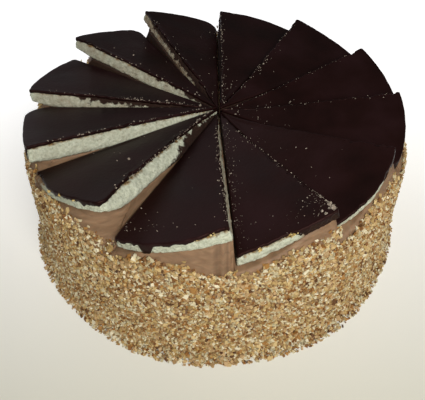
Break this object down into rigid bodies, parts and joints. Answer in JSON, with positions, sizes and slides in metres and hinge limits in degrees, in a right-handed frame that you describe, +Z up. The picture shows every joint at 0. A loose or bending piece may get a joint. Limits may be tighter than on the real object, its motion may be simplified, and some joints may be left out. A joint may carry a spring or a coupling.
{
  "type": "chocolate cake",
  "caption": "Round portioned chocolate cake: a nut-coated cream drum under a fan of tilted, chocolate-glazed sponge slices.",
  "frame": {"origin": "middle of the flat underside, on the surface that the cake stands on", "axes": "+Z up; the side that faces the viewer in the picture is towards -Y, with +X to its right"},
  "size_m": [0.2721, 0.2727, 0.1086],
  "materials": {
    "nut_coated_cream": "chopped roasted nuts pressed into matt milk-chocolate cream",
    "sponge": "matt open sponge crumb",
    "glaze": "satin dark chocolate"
  },
  "bodies": {
    "root": {"cake_body": "nut_coated_cream", "sponge_slice_01": "sponge", "sponge_slice_02": "sponge", "sponge_slice_03": "sponge", "sponge_slice_04": "sponge", "sponge_slice_05": "sponge", "sponge_slice_06": "sponge", "sponge_slice_07": "sponge", "sponge_slice_08": "sponge", "sponge_slice_09": "sponge", "sponge_slice_10": "sponge", "sponge_slice_11": "sponge", "sponge_slice_12": "sponge", "glaze_slice_01": "glaze", "glaze_slice_02": "glaze", "glaze_slice_03": "glaze", "glaze_slice_04": "glaze", "glaze_slice_05": "glaze", "glaze_slice_06": "glaze", "glaze_slice_07": "glaze", "glaze_slice_08": "glaze", "glaze_slice_09": "glaze", "glaze_slice_10": "glaze", "glaze_slice_11": "glaze", "glaze_slice_12": "glaze"}
  },
  "joints": []
}
